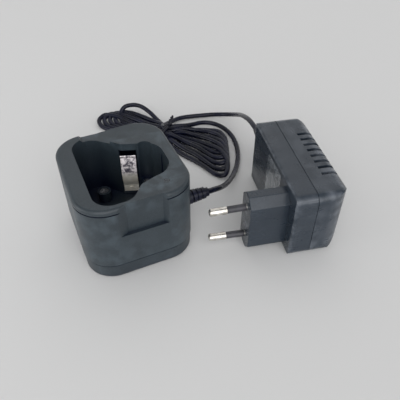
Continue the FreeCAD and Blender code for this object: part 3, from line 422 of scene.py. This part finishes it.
def board_laminate():
    made = new_material("board_laminate", Coat_Weight=0.3, Coat_Roughness=0.2)
    tree = made.node_tree
    weave = add_node(tree, "ShaderNodeTexChecker", {
        "Scale": 1400.0, "Color1": (0.30, 0.21, 0.09, 1.0), "Color2": (0.24, 0.16, 0.07, 1.0)})
    tree.links.new(stretched(tree), weave.inputs["Vector"])
    stains = ramp(tree, noise(tree, 90.0, 4.0), [(0.3, 0.8), (0.7, 1.1)])
    colour = mixed(tree, 1.0, weave.outputs["Color"], stains, "MULTIPLY")
    rough = ramp(tree, noise(tree, 300.0, 3.0), [(0.3, 0.45), (0.7, 0.65)])
    return connect(made, Base_Color=colour, Roughness=rough)


def label_film():
    """Blank foil label that doesn't lie quite flat."""
    made = new_material("label_film", Metallic=0.35, Coat_Weight=0.8, Coat_Roughness=0.08)
    tree = made.node_tree
    colour = ramp(tree, noise(tree, 130.0, 4.0, 0.6), [(0.35, (0.10, 0.12, 0.14)),
                                                       (0.72, (0.30, 0.33, 0.36))])
    rough = ramp(tree, noise(tree, 90.0, 3.0), [(0.35, 0.14), (0.7, 0.38)])
    creases = bump(tree, noise(tree, 150.0, 2.0, 0.5, (1.0, 2.2, 0.8), 0.3, 0.8), 0.0012, 0.8)
    return connect(made, Base_Color=colour, Roughness=rough, Normal=creases)


def clear_plastic(name, colour, amount):
    made = new_material(name, Transmission_Weight=amount, IOR=1.49)
    tree = made.node_tree
    darker = tuple(0.8 * channel for channel in colour)
    tint = ramp(tree, noise(tree, 500.0, 3.0), [(0.3, darker), (0.7, colour)])
    rough = ramp(tree, noise(tree, 600.0, 3.0), [(0.3, 0.18), (0.7, 0.4)])
    return connect(made, Base_Color=tint, Roughness=rough)


def contact_metal():
    """Nickel leaf: a near-white base with little metal paints in its bright reflection; a
    near-black and pinkish-white mottle above a given height.
    """
    made = new_material("contact_metal", Metallic=0.1)
    tree = made.node_tree
    # painted reflection: the leaf's nickel tone is raised to near white on a mostly non-metal
    # surface, so it shows the brightness that a reflection would give
    nickel_and_painted_shine = ramp(tree, noise(tree, 240.0, 4.0), [(0.3, (0.66, 0.62, 0.52)),
                                                 (0.7, (0.95, 0.92, 0.84))])
    upper_mottle = ramp(tree, noise(tree, 420.0, 4.0, 0.6, (1.0, 1.0, 1.0), 0.0, 0.6),
                 [(0.40, (0.10, 0.09, 0.12)), (0.56, (0.98, 0.92, 0.94))])
    spot = add_node(tree, "ShaderNodeTexCoord")
    height = add_node(tree, "ShaderNodeSeparateXYZ")
    tree.links.new(spot.outputs["Object"], height.inputs["Vector"])
    upper_share = add_node(tree, "ShaderNodeMapRange", {"From Min": MOTTLE_FROM, "From Max": MOTTLE_TO})
    tree.links.new(height.outputs["Z"], upper_share.inputs["Value"])
    colour = mixed(tree, upper_share.outputs["Result"], nickel_and_painted_shine, upper_mottle)
    rough = ramp(tree, noise(tree, 500.0, 4.0), [(0.3, 0.28), (0.7, 0.52)])
    normal = bump(tree, noise(tree, 330.0, 3.0), 0.0004, 0.35)
    return connect(made, Base_Color=colour, Roughness=rough, Normal=normal)


def make_finishes():
    """One material for each of the record's slots."""
    return {
        # case_plastic's last colour is the painted shade that darkens its pocket and other hollows
        "case_plastic": moulded_plastic("case_plastic", (0.020, 0.029, 0.037),
                                        (0.030, 0.042, 0.052), (0.07, 0.095, 0.115),
                                        (0.34, 0.50), (0.002, 0.005, 0.022)),
        "adapter_plastic": moulded_plastic("adapter_plastic", (0.016, 0.024, 0.036),
                                           (0.028, 0.039, 0.054), (0.11, 0.125, 0.15),
                                           (0.20, 0.38)),
        "foot_rubber": rubbery("foot_rubber", (0.012, 0.012, 0.012), (0.03, 0.03, 0.03),
                               (0.7, 0.9), 0.2),
        "cord_jacket": rubbery("cord_jacket", (0.002, 0.003, 0.010), (0.007, 0.009, 0.026),
                               (0.20, 0.36), 0.0, 900.0),
        "screw_steel": plated_metal("screw_steel", (0.22, 0.23, 0.25), (0.5, 0.5, 0.52),
                                    (0.3, 0.55)),
        "contact_metal": contact_metal(),
        "pin_metal": plated_metal("pin_metal", (0.50, 0.47, 0.42), (0.86, 0.84, 0.80), (0.16, 0.34),
                                  (0.3, 4.0, 4.0), 0.1),
        "pin_sleeve_plastic": moulded_plastic("pin_sleeve_plastic", (0.006, 0.007, 0.009),
                                              (0.015, 0.016, 0.020), (0.05, 0.05, 0.06),
                                              (0.30, 0.45)),
        "board_laminate": board_laminate(),
        "component_black": moulded_plastic("component_black", (0.008, 0.008, 0.009),
                                           (0.018, 0.018, 0.02), (0.06, 0.06, 0.06), (0.45, 0.6)),
        "resistor_ceramic": moulded_plastic("resistor_ceramic", (0.03, 0.03, 0.035),
                                            (0.06, 0.06, 0.065), (0.3, 0.3, 0.3), (0.4, 0.6)),
        "can_sleeve": moulded_plastic("can_sleeve", (0.010, 0.016, 0.045), (0.02, 0.03, 0.08),
                                      (0.2, 0.2, 0.25), (0.2, 0.35)),
        "led_lens": clear_plastic("led_lens", (0.75, 0.16, 0.10), 0.5),
        "light_pipe_clear": clear_plastic("light_pipe_clear", (0.035, 0.045, 0.055), 0.15),
        "label_film": label_film(),
        "lamination_steel": layered("lamination_steel", (0.10, 0.10, 0.11), (0.34, 0.34, 0.36),
                                    0.0005, "X", 0.9, 0.45, 0.00008),
        "bobbin_nylon": moulded_plastic("bobbin_nylon", (0.62, 0.60, 0.53), (0.74, 0.72, 0.65),
                                        (0.8, 0.8, 0.75), (0.4, 0.6)),
        "winding_copper": layered("winding_copper", (0.30, 0.09, 0.03), (0.75, 0.33, 0.13),
                                  0.0003, "Y", 0.9, 0.3, 0.0001),
        "tie_wire": rubbery("tie_wire", (0.010, 0.011, 0.018), (0.022, 0.024, 0.034),
                            (0.35, 0.55), 0.05),
    }


def dress(finishes):
    """Puts each CAD node's finish in its slots, and each new piece's on it."""
    for row in frame["record"]["subparts"]:
        node = frame["nodes"][row["node"]]
        node.data.materials.clear()
        node.data.materials.append(finishes[row["material_slot"]])
    for piece in [cord] + tie_parts:
        piece.data.materials.append(finishes[piece["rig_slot"]])


dress(make_finishes())

# ---------------------------------------------------------------- floor and light


FLOOR_SIZE = 6.0
HORIZON_LIGHT = 0.95
ZENITH_LIGHT = 0.25
MIDDLE = (0.045, 0.02, 0.02)


def make_floor():
    bpy.ops.mesh.primitive_plane_add(size=FLOOR_SIZE)
    floor = bpy.context.object
    floor.name = "floor"
    made = bpy.data.materials.new("floor_paper")
    made.use_nodes = True
    surface = made.node_tree.nodes["Principled BSDF"]
    surface.inputs["Base Color"].default_value = (0.70, 0.70, 0.70, 1.0)
    surface.inputs["Roughness"].default_value = 0.9
    surface.inputs["Specular IOR Level"].default_value = 0.1
    floor.data.materials.append(made)


def aim(light, spot, target):
    light.location = spot
    light.rotation_euler = (Vector(target) - Vector(spot)).to_track_quat("-Z", "Y").to_euler()
    bpy.context.scene.collection.objects.link(light)


def sun_light(name, spot, power, softness):
    """A wide distant light, so the floor stays even."""
    data = bpy.data.lights.new(name, "SUN")
    data.energy = power
    data.angle = math.radians(softness)
    aim(bpy.data.objects.new(name, data), spot, MIDDLE)


def area_light(name, spot, size, power):
    data = bpy.data.lights.new(name, "AREA")
    data.size = size
    data.energy = power
    aim(bpy.data.objects.new(name, data), spot, MIDDLE)


def make_world():
    """Studio surround, brighter near the horizon than overhead."""
    world = bpy.data.worlds.new("studio")
    world.use_nodes = True
    tree = world.node_tree
    spot = add_node(tree, "ShaderNodeTexCoord")
    height = add_node(tree, "ShaderNodeSeparateXYZ")
    tree.links.new(spot.outputs["Generated"], height.inputs["Vector"])
    fade = add_node(tree, "ShaderNodeMapRange", {"To Min": HORIZON_LIGHT, "To Max": ZENITH_LIGHT})
    tree.links.new(height.outputs["Z"], fade.inputs["Value"])
    tree.links.new(fade.outputs["Result"], tree.nodes["Background"].inputs["Strength"])
    tree.nodes["Background"].inputs["Color"].default_value = (1.0, 1.0, 1.0, 1.0)
    bpy.context.scene.world = world
    bpy.context.scene.view_settings.view_transform = "Standard"


make_floor()
make_world()
sun_light("front_sun", (-0.25, -0.9, 0.62), 1.75, 70.0)
sun_light("top_sun", (0.3, 0.6, 1.0), 0.30, 50.0)
area_light("left_box", (-0.45, 0.05, 0.12), 0.22, 0.35)
